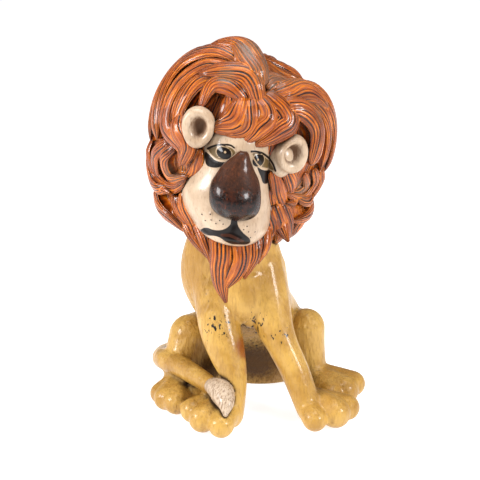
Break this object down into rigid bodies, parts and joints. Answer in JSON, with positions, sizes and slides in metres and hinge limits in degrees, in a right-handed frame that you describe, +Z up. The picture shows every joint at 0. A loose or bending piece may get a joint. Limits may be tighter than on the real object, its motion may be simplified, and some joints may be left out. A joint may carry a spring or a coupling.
{
  "type": "ceramic lion figurine",
  "caption": "Comic seated lion figurine in glazed ceramic, with a small ochre body, a huge head of swept orange hair, a cream face and a big dark nose.",
  "frame": {"origin": "middle of the footprint, on the surface the lion stands on", "axes": "+Z up, the lion looks towards -Y, +X is on the viewer's right"},
  "size_m": [0.2577, 0.2398, 0.4315],
  "materials": {
    "glaze": "painted and glossy, aged"
  },
  "bodies": {
    "root": {"lion": "glaze"}
  },
  "joints": []
}
